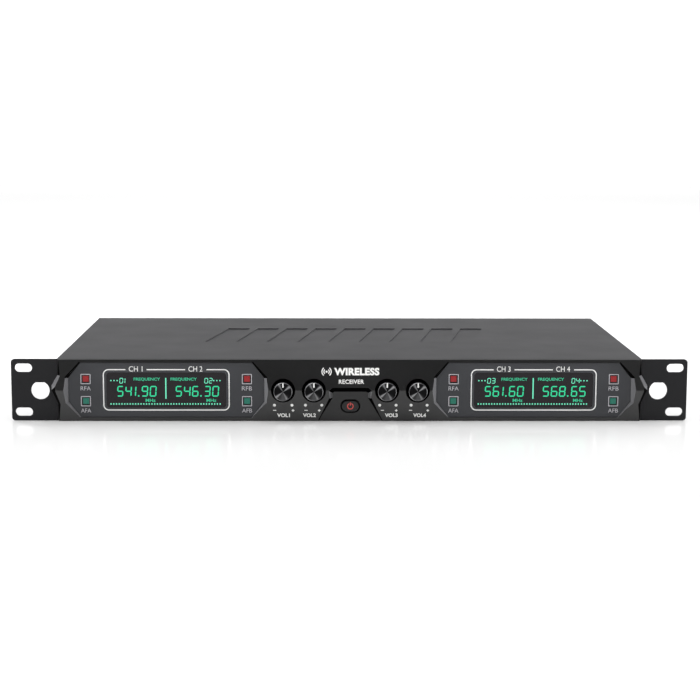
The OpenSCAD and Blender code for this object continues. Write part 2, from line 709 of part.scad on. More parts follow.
module case_screws() color([0.12, 0.12, 0.12]) {
    for (side = [-1, 1], y = side_screw_y)
        translate([side * (case_w / 2 - sheet_t), y, side_screw_z]) rotate([0, side * 90, 0]) union() {
            cylinder(r1 = 1.5, r2 = 3, h = sheet_t);
            translate([0, 0, -5]) cylinder(r = 1.5, h = 5.2);
        }
    for (x = bezel_screw_x) pan_screw(x, bezel_screw_z, panel_t, 3.6, -1, 2.5);
    for (x = tray_screw_x) pan_screw(x, tray_screw_z, panel_t + sheet_t, 3, -1);
    for (x = rear_screw_x) pan_screw(x, tray_screw_z, case_d, 5, -1);
}

module connector_screws() color([0.12, 0.12, 0.12])
    for (x = xlr_x, s = [-1, 1]) pan_screw(x + s * 9.5, rear_z + s * 12, case_d + xlr_flange_t, 5, -1);

// ---------------------------------------------------------------- nodes

module show(name) translate([0, panel_y, 0]) children();

show("rack_panel") rack_panel();
show("chassis_tray") chassis_tray();
show("top_cover") top_cover();
show("rear_panel") rear_panel();
show("rubber_feet") rubber_feet();
show("front_bezel") front_bezel();
show("display_overlay_left") display_overlay(-1);
show("display_overlay_right") display_overlay(1);
show("lcd_window_left") lcd_window(-1);
show("lcd_window_right") lcd_window(1);
show("lcd_module_left") lcd_module(-1);
show("lcd_module_right") lcd_module(1);
show("display_board_left") display_board(-1);
show("display_board_right") display_board(1);
show("rf_light_pipes") light_pipes(pipe_z, [0.6, 0.12, 0.12]);
show("af_light_pipes") light_pipes(-pipe_z, [0.1, 0.45, 0.38]);
for (i = [0 : 3]) {
    show(str("volume_knob_", i + 1)) volume_knob(i);
    show(str("knob_pointer_", i + 1)) knob_pointer(i);
    show(str("pot_shaft_", i + 1)) pot_shaft(i);
}
show("potentiometers") potentiometers();
show("pot_nuts") pot_nuts();
show("pot_washers") pot_washers();
show("control_board") control_board();
show("power_button") power_button();
show("power_icon_lens") power_icon_lens();
show("switch_plunger") switch_plunger();
show("power_switch") power_switch();
show("xlr_shells") xlr_shells();
show("xlr_inserts") xlr_inserts();
show("xlr_pins") xlr_pins();
show("bnc_jacks") bnc_jacks();
show("bnc_insulators") bnc_insulators();
show("bnc_contacts") bnc_contacts();
show("bnc_nuts") bnc_nuts();
show("bnc_washers") bnc_washers();
show("mix_jack") mix_jack();
show("mix_jack_nut") mix_jack_nut();
show("dc_inlet") dc_inlet();
show("dc_inlet_pin") dc_inlet_pin();
show("receiver_board_left") receiver_board(-1);
show("receiver_board_right") receiver_board(1);
show("audio_board") audio_board();
show("tuner_cans") tuner_cans();
show("filter_capacitors") filter_capacitors();
show("regulator_heatsink") regulator_heatsink();
show("board_standoffs") board_standoffs();
show("antenna_leads") antenna_leads();
show("display_ribbons") display_ribbons();
show("case_screws") case_screws();
show("board_screws") board_screws();
show("connector_screws") connector_screws();
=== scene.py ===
# Four-channel rack-mount wireless receiver, one rack unit high.
# The script follows the unit as it is put together: studio, sheet metal, bezel, displays,
# controls, rear sockets, and what is inside. Lengths are in metres; MM turns millimetres.
import math

import bmesh
import bpy
from mathutils import Matrix, Vector


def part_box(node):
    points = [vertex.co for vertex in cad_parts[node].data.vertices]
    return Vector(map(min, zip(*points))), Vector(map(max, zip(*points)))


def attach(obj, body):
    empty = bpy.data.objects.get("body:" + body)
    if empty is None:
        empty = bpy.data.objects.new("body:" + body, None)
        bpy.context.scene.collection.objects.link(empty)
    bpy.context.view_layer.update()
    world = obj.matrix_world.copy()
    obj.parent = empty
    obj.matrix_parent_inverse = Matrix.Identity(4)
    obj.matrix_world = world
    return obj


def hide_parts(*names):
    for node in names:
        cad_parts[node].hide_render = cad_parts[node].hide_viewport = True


MM = 0.001
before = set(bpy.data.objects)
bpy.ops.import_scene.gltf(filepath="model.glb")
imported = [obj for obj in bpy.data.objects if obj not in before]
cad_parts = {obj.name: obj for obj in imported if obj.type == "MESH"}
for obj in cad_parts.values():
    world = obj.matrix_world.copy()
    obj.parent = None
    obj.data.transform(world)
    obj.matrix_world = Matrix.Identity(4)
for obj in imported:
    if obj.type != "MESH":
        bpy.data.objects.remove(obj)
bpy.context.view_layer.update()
scene = bpy.context.scene

# --- Studio -----------------------------------------------------------------------------
# A white sweep: a satin floor, and a lit paper backdrop behind it. Wide softboxes hang above,
# two at the sides light the recess walls without a mirror image, two light the floor from the
# rear corners, and two narrow strips streak the knobs' faces.
panel_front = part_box("rack_panel")[0][1]


def linear(hex_colour, alpha=1.0):
    """An sRGB hex colour as the linear values that sockets hold."""
    parts = [int(hex_colour[i:i + 2], 16) / 255 for i in (1, 3, 5)]
    return [c / 12.92 if c <= 0.04045 else ((c + 0.055) / 1.055) ** 2.4 for c in parts] + [alpha]


def add(tree, kind, settings=None, **links):
    """Adds a node: settings are attributes or socket values, links name sockets to join."""
    made = tree.nodes.new("ShaderNode" + kind)
    for key, value in (settings or {}).items():
        if key in made.inputs:
            made.inputs[key].default_value = value
        else:
            setattr(made, key, value)
    for key, source in links.items():
        tree.links.new(source, made.inputs[key.replace("_", " ")])
    return made


def new_material(name):
    """An empty material and its node tree."""
    made = bpy.data.materials.new(name)
    made.use_nodes = True
    made.node_tree.nodes.clear()
    return made, made.node_tree


def stage_plane(name, corners, material):
    """A flat sheet of the studio, which is not a part of the unit."""
    mesh = bpy.data.meshes.new(name)
    sheet = bmesh.new()
    sheet.faces.new([sheet.verts.new(c) for c in corners])
    sheet.to_mesh(mesh)
    sheet.free()
    mesh.materials.append(material)
    made = bpy.data.objects.new(name, mesh)
    scene.collection.objects.link(made)


floor_paint, tree = new_material("white_satin_acrylic")
paint = add(tree, "BsdfPrincipled", {
    "Base Color": linear("#dadada"), "Roughness": 0.13, "Specular IOR Level": 0.5})
add(tree, "OutputMaterial", Surface=paint.outputs[0])
HALF_WIDE, NEAR, FAR = 7, -6, 3.4
stage_plane("floor", [(-HALF_WIDE, NEAR, 0), (HALF_WIDE, NEAR, 0),
                      (HALF_WIDE, FAR, 0), (-HALF_WIDE, FAR, 0)], floor_paint)

paper, tree = new_material("lit_backdrop_paper")
glow = add(tree, "Emission", {"Color": linear("#ffffff"), "Strength": 1.25})
add(tree, "OutputMaterial", Surface=glow.outputs[0])
PAPER_LOW, PAPER_HIGH = -0.2, 0.66
stage_plane("backdrop", [(-HALF_WIDE, FAR, PAPER_LOW), (HALF_WIDE, FAR, PAPER_LOW),
                         (HALF_WIDE, FAR, PAPER_HIGH), (-HALF_WIDE, FAR, PAPER_HIGH)], paper)

world = bpy.data.worlds.new("studio")
world.use_nodes = True
background = world.node_tree.nodes["Background"]
background.inputs["Color"].default_value = linear("#ffffff")
background.inputs["Strength"].default_value = 0.06
scene.world = world


def softbox(name, place, target, width, height, watts, mirrored=True):
    """A rectangular light aimed at a point; unless mirrored, glossy surfaces do not show it."""
    data = bpy.data.lights.new(name, "AREA")
    data.shape = "RECTANGLE"
    data.size, data.size_y, data.energy = width, height, watts
    made = bpy.data.objects.new(name, data)
    scene.collection.objects.link(made)
    made.location = place
    made.rotation_euler = (Vector(target) - Vector(place)).to_track_quat("-Z", "Y").to_euler()
    made.visible_glossy = mirrored


softbox("overhead", (0, 0.35, 2.6), (0, 0.1, 0), 3.6, 2.4, 83)
softbox("front_high", (0, -1.6, 2.3), (0, -0.1, 0), 2.4, 0.8, 9)
panel_aim = (0, -0.12, 0.02)
for name, (x, y, z), aim, width, height, watts, mirrored in (
        ("side", (1.7, -0.27, 0.3), panel_aim, 0.25, 0.5, 52, False),
        ("rear", (1.6, 1.3, 0.95), (0, -0.2, 0), 0.9, 0.7, 30, True),
        ("strip", (0.96, -1.2, 0.74), panel_aim, 0.12, 0.5, 2, True)):
    softbox("left_" + name, (-x, y, z), aim, width, height, watts, mirrored)
    softbox("right_" + name, (x, y, z), aim, width, height, watts, mirrored)

# The camera stands 1.16 m in front of the panel and looks slightly down and to the right.
LENS, SENSOR = 85, 36
CAMERA_X, CAMERA_AWAY, CAMERA_Z = -0.02107, 1.1638, 0.22319
YAW, PITCH, ROLL = 1.021, 8.414, 0.189
camera_place = Vector((CAMERA_X, panel_front - CAMERA_AWAY, CAMERA_Z))
yaw, pitch, roll = (math.radians(a) for a in (YAW, PITCH, ROLL))
ahead = Vector((math.sin(yaw) * math.cos(pitch), math.cos(yaw) * math.cos(pitch),
                -math.sin(pitch)))
right = Vector((math.cos(yaw), -math.sin(yaw), 0))
above = right.cross(ahead)
right, above = (math.cos(roll) * right + math.sin(roll) * above,
                math.cos(roll) * above - math.sin(roll) * right)
camera_data = bpy.data.cameras.new("camera")
camera_data.lens, camera_data.sensor_width = LENS, SENSOR
camera = bpy.data.objects.new("camera", camera_data)
axes = Matrix((right, above, -ahead)).transposed()
camera.matrix_world = Matrix.Translation(camera_place) @ axes.to_4x4()
scene.collection.objects.link(camera)
scene.camera = camera
scene.view_settings.view_transform = "Standard"

# --- Rack panel -------------------------------------------------------------------------
# 2 mm cold-rolled steel, punched and powder coated black. The coat has a fine dry texture,
# and its gloss varies a little over the sheet.


def mixed(tree, share, colour, second):
    """A colour output that runs from one hex colour to another as share goes from 0 to 1."""
    blend = add(tree, "Mix", {"data_type": "RGBA"})
    blend.inputs[6].default_value = linear(colour)
    blend.inputs[7].default_value = linear(second)
    tree.links.new(share, blend.inputs[0])
    return blend.outputs[2]


def textured(name, colour, second, roughness, grain_mm, depth_mm, metallic=0.0, patch_mm=40,
             stretch=(1, 1, 1), ior=1.5, specular=0.5, spread=0.05):
    """A finish whose grain, colour and gloss come from noise at real sizes."""
    made, tree = new_material(name)
    place = add(tree, "TexCoord").outputs["Object"]
    run = add(tree, "Mapping", {"Scale": stretch}, Vector=place).outputs[0]
    grain = add(tree, "TexNoise", {"Scale": 1 / (grain_mm * MM), "Detail": 3.0}, Vector=run)
    patch = add(tree, "TexNoise", {"Scale": 1 / (patch_mm * MM), "Detail": 2.0}, Vector=place)
    both = add(tree, "Math", {"operation": "MULTIPLY"})
    tree.links.new(grain.outputs["Fac"], both.inputs[0])
    tree.links.new(patch.outputs["Fac"], both.inputs[1])
    gloss = add(tree, "MapRange", {"To Min": roughness - spread, "To Max": roughness + spread},
                Value=patch.outputs["Fac"])
    relief = add(tree, "Bump", {"Strength": 0.6, "Distance": depth_mm * MM},
                 Height=grain.outputs["Fac"])
    surface = add(tree, "BsdfPrincipled",
                  {"Metallic": metallic, "IOR": ior, "Specular IOR Level": specular},
                  Base_Color=mixed(tree, both.outputs[0], colour, second),
                  Roughness=gloss.outputs[0], Normal=relief.outputs[0])
    add(tree, "OutputMaterial", Surface=surface.outputs[0])
    return made


def dress(node, material):
    """Gives a CAD node its finish."""
    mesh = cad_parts[node].data
    mesh.materials.clear()
    mesh.materials.append(material)


powder_black = textured("powder_coated_steel_black", "#1b1b1d", "#222224", 0.5, 0.5, 0.012,
                        specular=0.24)
dress("rack_panel", powder_black)

# --- Case -------------------------------------------------------------------------------
# The cover, tray and rear plate are folded 1.2 mm steel in a satin grey-black powder coat,
# with a finer texture than the panel's.
powder_grey = textured("powder_coated_steel_grey", "#28282a", "#2e2e30", 0.4, 0.35, 0.004,
                       specular=0.25)
for node in ("top_cover", "chassis_tray", "rear_panel"):
    dress(node, powder_grey)

# Four stick-on feet, cut from moulded black rubber.
foot_rubber = textured("moulded_rubber", "#17171a", "#202022", 0.75, 0.4, 0.02)
dress("rubber_feet", foot_rubber)

# --- Bezel ------------------------------------------------------------------------------
# Injection-moulded black ABS in a fine spark-eroded texture, screwed on from behind the
# panel. A ridge runs across it, and it slopes back from there to its top and bottom edges.
# From here on, shapes are drawn in millimetres: x, z, and p in front of the panel's face.
bezel_abs = textured("moulded_abs_black", "#070708", "#0c0c0d", 0.4, 0.3, 0.008, specular=0.76)
dress("front_bezel", bezel_abs)
# Painted shade: a black material with no reflection, put on walls and hollows where shade falls.
painted_shade_abs = textured("moulded_abs_painted_shade", "#050505", "#080808", 0.6, 0.3, 0.004,
                      specular=0.0)
# Painted light: a lighter grey for the walls beside the displays and a band on the noses.
painted_light_abs = textured("moulded_abs_painted_light", "#4d4d4f", "#575759", 0.4, 0.3, 0.004)
# Painted highlight: a lighter grey still for the upper corners of the button's recess.
painted_glint_abs = textured("moulded_abs_painted_glint", "#6a6a6c", "#747476", 0.4, 0.3, 0.004)
bezel_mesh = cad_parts["front_bezel"].data
PAINTED_SHADE, PAINTED_LIGHT, PAINTED_GLINT = 1, 2, 3
for material in (painted_shade_abs, painted_light_abs, painted_glint_abs):
    bezel_mesh.materials.append(material)

ridge_z, ridge_p, edge_p, panel_h = 22.8, 6.5, 2.0, 44.3
display_x, display_z = 131.0, 22.3
knob_x = [-47.9, -26.0, 26.0, 47.9]
knob_z, cup_r = 22.5, 8.6
button_z, hole_w, hole_h = 10.8, 14.4, 9.8
# the flanks beside a display, measured from its middle, the upper corners of the button's
# recess, and the noses at the bezel's ends with the band of painted light on them
flank_x, flank_z = (60, 74.5), (2.5, 31.2)
corner_x, corner_z = (12, 17), (16.9, 21.5)
nose_x, nose_painted_light_z = 204.5, (24, 33.5)
FACES_FRONT, WALL_ACROSS, WALL_DOWN = -0.93, 0.8, -0.3


def within(value, limits):
    """Whether a value is between two limits."""
    return limits[0] < value < limits[1]


def roof_p(z):
    """How far the bezel's face stands in front of the panel at height z."""
    rise = z / ridge_z if z < ridge_z else (panel_h - z) / (panel_h - ridge_z)
    return edge_p + (ridge_p - edge_p) * rise


# Painted shade: walls that face down, the noses at the ends outside their band of painted
# light, the knobs' cups and the button's hole get a black material with no reflection, where
# shade falls. Painted light: the flanks beside each display and a band on the upper half of the
# noses get a lighter grey, and the upper corners of the button's recess a lighter grey still,
# where light catches those walls. The back and the thin outer edges keep the texture.
for face in bezel_mesh.polygons:
    x, p, z = face.center.x / MM, (panel_front - face.center.y) / MM, face.center.z / MM
    at_edge = p < 0.7 or not within(z, (0.5, panel_h - 0.3))
    in_cup = any(math.hypot(x - axis, z - knob_z) < cup_r + 0.1 for axis in knob_x)
    in_hole = abs(x) < hole_w / 2 and abs(z - button_z) < hole_h / 2
    beside_display = within(abs(abs(x) - display_x), flank_x) and within(z, flank_z)
    at_corner = (within(abs(x), corner_x) and within(z, corner_z)
                 and abs(face.normal.x) > WALL_ACROSS)
    if at_edge:
        continue
    if in_cup:
        face.material_index = PAINTED_SHADE
    elif face.normal.y > FACES_FRONT:
        if abs(x) > nose_x:
            face.material_index = PAINTED_LIGHT if within(z, nose_painted_light_z) else PAINTED_SHADE
        elif at_corner:
            face.material_index = PAINTED_GLINT
        elif beside_display:
            face.material_index = PAINTED_LIGHT
        elif in_hole or face.normal.z < WALL_DOWN:
            face.material_index = PAINTED_SHADE

# --- Display plates ---------------------------------------------------------------------
# Each plate is grey polycarbonate film on a stiff sheet, let into the bezel. The white
# border, the squares around the indicators and the words are screen printed on it.
overlay_film = textured("satin_polycarbonate_film", "#3b3c3f", "#414246", 0.45, 0.25, 0.003,
                        specular=0.35)
for node in ("display_overlay_left", "display_overlay_right"):
    dress(node, overlay_film)

white_ink = textured("screen_ink_white", "#eeeeec", "#f8f8f6", 0.5, 0.3, 0.003, patch_mm=8)
grey_ink = textured("screen_ink_grey", "#bcbabf", "#c8c6cb", 0.5, 0.3, 0.003, patch_mm=8)
INK = 0.03
plate_p = 1.8


def sheet_of(width, height, radius, steps=6):
    """A flat face in X and Z, facing forward, with rounded corners, centred on the origin."""
    sheet = bmesh.new()
    corners = [sheet.verts.new((x * width / 2, 0, z * height / 2))
               for x, z in ((-1, -1), (1, -1), (1, 1), (-1, 1))]
    sheet.faces.new(corners)
    if radius:
        bmesh.ops.bevel(sheet, geom=corners, offset=radius, segments=steps, profile=0.5,
                        affect="VERTICES", material=-1)
    return sheet


def ring_of(width, height, radius, line):
    """The same sheet with everything but a border of that line width removed."""
    sheet = sheet_of(width, height, radius)
    middle = sheet.faces[:]
    bmesh.ops.inset_region(sheet, faces=middle, thickness=line, use_boundary=True,
                           use_even_offset=True)
    bmesh.ops.delete(sheet, geom=middle, context="FACES")
    return sheet


def thicken(sheet, amount):
    """Extrudes a flat sheet backwards, so that it is a closed body of that thickness."""
    bmesh.ops.recalc_face_normals(sheet, faces=sheet.faces[:])
    made = bmesh.ops.extrude_face_region(sheet, geom=sheet.faces[:])
    bmesh.ops.translate(sheet, vec=(0, amount, 0),
                        verts=[g for g in made["geom"] if isinstance(g, bmesh.types.BMVert)])
    bmesh.ops.recalc_face_normals(sheet, faces=sheet.faces[:])


def onto(sheet, x, z, surface):
    """Moves a shape to x and z, lays it on a surface p = surface(z), and turns it to metres."""
    for vert in sheet.verts:
        height = vert.co.z + z
        vert.co = Vector((vert.co.x + x, vert.co.y - surface(height), height)) * MM
        vert.co.y += panel_front


def join(target, piece):
    """Adds one bmesh to another."""
    held = bpy.data.meshes.new("held")
    piece.to_mesh(held)
    target.from_mesh(held)
    bpy.data.meshes.remove(held)
    piece.free()


def lay(target, shape, x, z, surface):
    """Gives a flat shape the ink's thickness, lays it on a surface and adds it to target."""
    thicken(shape, INK)
    onto(shape, x, z, surface)
    join(target, shape)


def finish_piece(name, sheet, material, body):
    """Turns a bmesh into a piece that rides on a CAD body."""
    mesh = bpy.data.meshes.new(name)
    sheet.to_mesh(mesh)
    sheet.free()
    mesh.materials.append(material)
    made = bpy.data.objects.new(name, mesh)
    scene.collection.objects.link(made)
    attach(made, body)
    return made


def lettering(words, left, right, low, high, bold=0.0, spacing=1.0):
    """Words drawn between those limits, as a closed sheet whose front is at the origin."""
    data = bpy.data.curves.new("words", "FONT")
    data.body, data.extrude, data.space_character, data.offset = words, 0.01, spacing, bold
    data.resolution_u = 4
    typed = bpy.data.objects.new("words", data)
    mesh = bpy.data.meshes.new_from_object(typed)
    bpy.data.objects.remove(typed)
    bpy.data.curves.remove(data)
    drawn = bmesh.new()
    drawn.from_mesh(mesh)
    bpy.data.meshes.remove(mesh)
    xs = [v.co.x for v in drawn.verts]
    ys = [v.co.y for v in drawn.verts]
    for vert in drawn.verts:
        vert.co = Vector((
            left + (vert.co.x - min(xs)) / (max(xs) - min(xs)) * (right - left),
            INK * (0.0 if vert.co.z > 0 else 1.0),
            low + (vert.co.y - min(ys)) / (max(ys) - min(ys)) * (high - low)))
    bmesh.ops.remove_doubles(drawn, verts=drawn.verts[:], dist=1e-6)
    bmesh.ops.recalc_face_normals(drawn, faces=drawn.faces[:])
    return drawn


def flat_plate(z):
    """The front of ink on a display plate."""
    return plate_p + INK


def roof_ink(z):
    """The front of ink on the bezel's sloping face."""
    return roof_p(z) + INK


def printed(target, words, left, right, low, high, surface=flat_plate, **style):
    """Adds words between those limits, printed on a surface."""
    drawn = lettering(words, left, right, low, high, **style)
    onto(drawn, 0, 0, surface)
    join(target, drawn)


def slants(corners):
    """A pair of narrow four-sided strips, one the mirror image of the other."""
    pair = bmesh.new()
    for hand in (-1, 1):
        pair.faces.new([pair.verts.new((hand * x, 0, z)) for x, z in corners])
    return pair


border_w, border_h, border_r, border_line = 90.0, 29.9, 4.0, 0.75
border_z = 22.5
# the border is broken for the channels' labels, which stand between these limits
label_gap = [(-28.9, -13.9), (13.45, 28.65)]
label_low, label_high, label_inset = 35.7, 39.5, (2.4, 2.9)
pipe_x, pipe_z = 57.3, 8.0
square_w, square_h, square_r, square_line = 7.1, 7.3, 0.5, 0.55
name_half, name_low, name_high = 3.6, -8.2, -5.3
display_slant = [(60.9, 19.9), (71.2, 9.2), (71.9, 9.6), (61.6, 20.6)]
for side, first in ((-1, 1), (1, 3)):
    middle = side * display_x
    ink, thin_ink = bmesh.new(), bmesh.new()
    border = ring_of(border_w, border_h, border_r, border_line)
    for limit in label_gap[0] + label_gap[1]:
        everything = border.verts[:] + border.edges[:] + border.faces[:]
        bmesh.ops.bisect_plane(border, geom=everything, plane_co=(limit, 0, 0),
                               plane_no=(1, 0, 0))
    cut = [f for f in border.faces if f.calc_center_median().z > 0 and any(
        within(f.calc_center_median().x, gap) for gap in label_gap)]
    bmesh.ops.delete(border, geom=cut, context="FACES")
    lay(ink, border, middle, border_z, flat_plate)
    for number, (low, high) in enumerate(label_gap):
        printed(ink, "CH %d" % (first + number), middle + low + label_inset[0],
                middle + high - label_inset[1], label_low, label_high)
    for x, letter in ((middle - pipe_x, "A"), (middle + pipe_x, "B")):
        for z, kind in ((display_z + pipe_z, "RF"), (display_z - pipe_z, "AF")):
            square = ring_of(square_w, square_h, square_r, square_line)
            lay(thin_ink, square, x, z, flat_plate)
            printed(thin_ink, kind + letter, x - name_half, x + name_half,
                    z + name_low, z + name_high)
    tag = "left" if side < 0 else "right"
    finish_piece("display_print_" + tag, ink, white_ink, "chassis")
    finish_piece("indicator_print_" + tag, thin_ink, grey_ink, "chassis")
    # painted shadow: a thin black strip laid on the bezel along the plate's upper slants stands in
    # for the shade there
    gap = slants(display_slant)
    thicken(gap, INK)
    onto(gap, middle, display_z, roof_ink)
    finish_piece("display_painted_shadow_" + tag, gap, painted_shade_abs, "chassis")

# --- Displays ---------------------------------------------------------------------------
# A liquid crystal cell behind a smoked acrylic window, reverse type: dark field, and green
# segments lit from behind. The window is polished, so it mirrors the room a little.
smoked, tree = new_material("smoked_acrylic_window")
place = add(tree, "TexCoord").outputs["Object"]
haze = add(tree, "TexNoise", {"Scale": 220.0, "Detail": 2.0}, Vector=place)
wear = add(tree, "MapRange", {"To Min": 0.12, "To Max": 0.2}, Value=haze.outputs["Fac"])
surface = add(tree, "BsdfPrincipled", {"IOR": 1.49, "Specular IOR Level": 0.34},
              Base_Color=mixed(tree, haze.outputs["Fac"], "#131013", "#1a161a"),
              Roughness=wear.outputs[0])
add(tree, "OutputMaterial", Surface=surface.outputs[0])
for node in ("lcd_window_left", "lcd_window_right"):
    dress(node, smoked)
dark_cell = textured("lcd_cell_and_frame", "#1c1c1e", "#242426", 0.3, 0.5, 0.004)
for node in ("lcd_module_left", "lcd_module_right"):
    dress(node, dark_cell)


def lit(name, colour, second, strength):
    """Clear tinted plastic lit from behind. The glow swims a little, as a light guide's does."""
    made, tree = new_material(name)
    place = add(tree, "TexCoord").outputs["Object"]
    swim = add(tree, "TexNoise", {"Scale": 700.0, "Detail": 1.0}, Vector=place)
    tint = mixed(tree, swim.outputs["Fac"], colour, second)
    body = add(tree, "HueSaturation", {"Value": 0.08}, Color=tint)
    surface = add(tree, "BsdfPrincipled", {"Roughness": 0.3, "Emission Strength": strength},
                  Base_Color=body.outputs[0], Emission_Color=tint)
    add(tree, "OutputMaterial", Surface=surface.outputs[0])
    return made


segment_bright = lit("lcd_segments_bright", "#24d493", "#30e6a8", 0.95)
segment_pale = lit("lcd_segments_pale", "#62e8b8", "#80f4cc", 1.05)
segment_dim = lit("lcd_segments_dim", "#2bb585", "#38c896", 0.95)

SEGMENTS = {"0": "abcdef", "1": "bc", "2": "abged", "3": "abgcd", "4": "fgbc", "5": "afgcd",
            "6": "afgedc", "7": "abc", "8": "abcdefg", "9": "abcdfg"}
# how far a digit leans to the right for its height, and the break between two segments
LEAN, BREAK = 0.07, 0.12


def segment_bar(x, z, length, upright, stroke):
    """One bar of a digit, with mitred ends."""
    half, point = length / 2, stroke / 2
    outline = [(-half, 0), (-half + point, -point), (half - point, -point),
               (half, 0), (half - point, point), (-half + point, point)]
    bar = bmesh.new()
    if upright:
        outline = [(-b, a) for a, b in outline]
    bar.faces.new([bar.verts.new((x + a, 0, z + b)) for a, b in outline])
    return bar


def digit(character, width, height, stroke=0.85):
    """A seven-segment digit whose lower left corner is the origin."""
    w, h = width - stroke, height - stroke
    places = {"a": (w / 2, h, w, 0), "g": (w / 2, h / 2, w, 0), "d": (w / 2, 0, w, 0),
              "f": (0, h * 0.75, h / 2, 1), "b": (w, h * 0.75, h / 2, 1),
              "e": (0, h * 0.25, h / 2, 1), "c": (w, h * 0.25, h / 2, 1)}
    drawn = bmesh.new()
    for name in SEGMENTS[character]:
        x, z, length, upright = places[name]
        join(drawn, segment_bar(x, z, length - BREAK, upright, stroke))
    bmesh.ops.translate(drawn, verts=drawn.verts[:], vec=(stroke / 2, 0, stroke / 2))
    for vert in drawn.verts:
        vert.co.x += LEAN * vert.co.z
    return drawn


def window_face(z):
    """The front of the lit segments, which stand just proud of the window."""
    return plate_p - 0.1 + INK


digit_h, digit_z = 7.75, 17.6
small_w, small_h, small_z, small_pitch, small_stroke = 2.6, 4.0, 27.1, 3.2, 0.48
ones_w, small_one_w = 1.6, 0.96
point_size, mark_size, mark_pitch, mark_z = 1.05, 0.85, 2.2, 29.2
divider_w, divider_h, divider_x, divider_z = 0.8, 15.0, -0.4, 23.6
dot_w, dot_h, dot_count, dot_pitch, dot_shift, dot_row_z = 0.8, 1.05, 41, 1.94, -0.7, 12.3
channels = {-1: (("541.90", "01"), ("546.30", "02")), 1: (("561.60", "03"), ("568.65", "04"))}
# The two halves of a display, measured from its middle: the left edge and width of each place
# of the frequency, the left edges of the channel's number and of the three marks beside it,
# and the words as text, left, right, bottom and top.
halves = (
    {"places": [(-35.3, 4.5), (-29.5, 4.6), (-23.3, ones_w), (-20.4, 0), (-17.9, 4.6),
                (-12.1, 4.8)],
     "number_x": -33.4, "marks_x": -39.3,
     "words": [("FREQUENCY", -23.2, -4.4, 28.8, 31.3), ("MHz", -14.9, -7.8, 13.8, 16.1)]},
    {"places": [(6.2, 4.6), (12.1, 4.8), (18.0, 4.6), (23.9, 0), (26.6, 4.5), (32.3, 4.8)],
     "number_x": 26.9, "marks_x": 33.7,
     "words": [("FREQUENCY", 3.0, 21.7, 28.8, 31.3), ("MHz", 28.4, 35.4, 13.8, 16.1)]})
for side in (-1, 1):
    middle = side * display_x
    bright, pale, dim = bmesh.new(), bmesh.new(), bmesh.new()
    for half, (frequency, number) in zip(halves, channels[side]):
        for character, (x, width) in zip(frequency, half["places"]):
            if character == ".":
                lay(bright, sheet_of(point_size, point_size, 0), middle + x + 0.6, digit_z + 0.55,
                    window_face)
            else:
                lay(bright, digit(character, width, digit_h), middle + x, digit_z, window_face)
        for place, character in enumerate(number):
            width = small_one_w if character == "1" else small_w
            lay(pale, digit(character, width, small_h, small_stroke),
                middle + half["number_x"] + small_pitch * place, small_z, window_face)
        for place in range(3):
            lay(pale, sheet_of(mark_size, mark_size, 0),
                middle + half["marks_x"] + mark_pitch * place, mark_z, window_face)
        for words, left, right, low, high in half["words"]:
            printed(dim, words, middle + left, middle + right, low, high, surface=window_face,
                    bold=0.02)
    lay(pale, sheet_of(divider_w, divider_h, 0), middle + divider_x, divider_z, window_face)
    for place in range(dot_count):
        x = (place - (dot_count - 1) / 2) * dot_pitch + dot_shift
        lay(pale, sheet_of(dot_w, dot_h, 0), middle + x, dot_row_z, window_face)
    tag = "left" if side < 0 else "right"
    finish_piece("lcd_digits_" + tag, bright, segment_bright, "chassis")
    finish_piece("lcd_dots_" + tag, pale, segment_pale, "chassis")
    finish_piece("lcd_words_" + tag, dim, segment_dim, "chassis")

# --- Indicators -------------------------------------------------------------------------
# Square light pipes in clear tinted polycarbonate carry the light of chips on the display
# boards. Those for radio level are red, and those for audio level are green.
red_pipe = lit("light_pipe_red", "#8e1519", "#a01a20", 0.85)
green_pipe = lit("light_pipe_green", "#166452", "#1c7664", 0.85)
dress("rf_light_pipes", red_pipe)
dress("af_light_pipes", green_pipe)

# --- Volume knobs -----------------------------------------------------------------------
# Turned aluminium, anodised black. The face is finished with a fine concentric cut, and a
# last cut with a diamond tool leaves a bright bevel around it. The bright streaks on the face
# and the glints on the bevel are painted highlights, mixed into the colour by the angle around
# the axis. The pointer is filled white.


def painted_fan_share(tree, painted_fans):
    """How strong the painted highlights are, in fans around the Y axis of an object, from 0 to 1.
    """
    middle = add(tree, "VectorMath", {"operation": "SUBTRACT"},
                 Vector=add(tree, "TexCoord").outputs["Generated"])
    middle.inputs[1].default_value = (0.5, 0.5, 0.5)
    flat = add(tree, "VectorMath", {"operation": "MULTIPLY"}, Vector=middle.outputs[0])
    flat.inputs[1].default_value = (1, 0, 1)
    spoke = add(tree, "VectorMath", {"operation": "NORMALIZE"}, Vector=flat.outputs[0])
    total = None
    for angle, sharpness, strength, kind in painted_fans:
        near = add(tree, "VectorMath", {"operation": "DOT_PRODUCT"}, Vector=spoke.outputs[0])
        turn = math.radians(angle)
        near.inputs[1].default_value = (math.cos(turn), 0, math.sin(turn))
        size = add(tree, "Math", {"operation": kind}, Value=near.outputs["Value"])
        size.inputs[1].default_value = 0.0
        fan = add(tree, "Math", {"operation": "POWER"}, Value=size.outputs[0])
        fan.inputs[1].default_value = sharpness
        part = add(tree, "Math", {"operation": "MULTIPLY_ADD"}, Value=fan.outputs[0])
        part.inputs[1].default_value = strength
        part.inputs[2].default_value = 0.0
        if total:
            tree.links.new(total.outputs[0], part.inputs[2])
        total = part
    return total.outputs[0]


